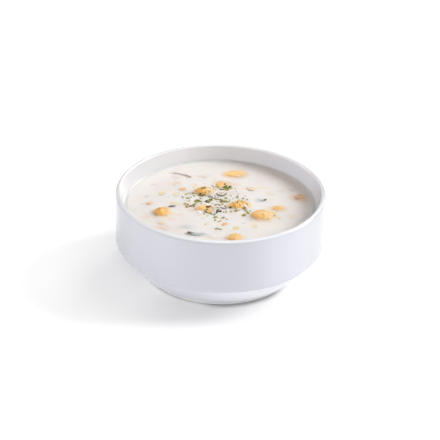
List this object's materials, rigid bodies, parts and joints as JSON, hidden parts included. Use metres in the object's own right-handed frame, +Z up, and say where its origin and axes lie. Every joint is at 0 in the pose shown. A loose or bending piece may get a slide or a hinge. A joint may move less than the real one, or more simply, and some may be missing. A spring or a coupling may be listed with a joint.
{
  "type": "yogurt soup with chickpeas in a stacking bowl",
  "caption": "White straight-sided stacking bowl on a low foot, filled with pale yogurt soup in which whole chickpeas float, with dried herb flakes and curled shreds on top.",
  "frame": {"origin": "on the table, at the centre of the bowl's foot", "axes": "+Z up along the bowl's axis; -Y is the side that faces the viewer in the picture and +X is on the viewer's right"},
  "size_m": [0.12, 0.12, 0.05],
  "materials": {
    "bowl_glaze": "smooth white glaze, clear gloss",
    "soup": "wet, cloudy, warm off-white",
    "chickpea": "moist, golden, thin-skinned",
    "herb": "dry, matt, olive to brown"
  },
  "bodies": {
    "root": {"bowl": "bowl_glaze", "soup": "soup", "chickpea_back": "chickpea", "chickpea_left": "chickpea", "chickpea_right": "chickpea", "chickpea_half": "chickpea", "chickpea_front": "chickpea", "chickpea_inner_right": "chickpea", "chickpea_inner_left": "chickpea", "chickpea_inner_front": "chickpea", "chickpea_inner_back": "chickpea", "chickpea_shaded": "chickpea", "stem_back": "herb", "stem_left": "herb", "leaf_front": "herb", "leaf_right": "herb", "curl_back": "herb", "curl_left": "herb", "curl_front": "herb"}
  },
  "joints": []
}
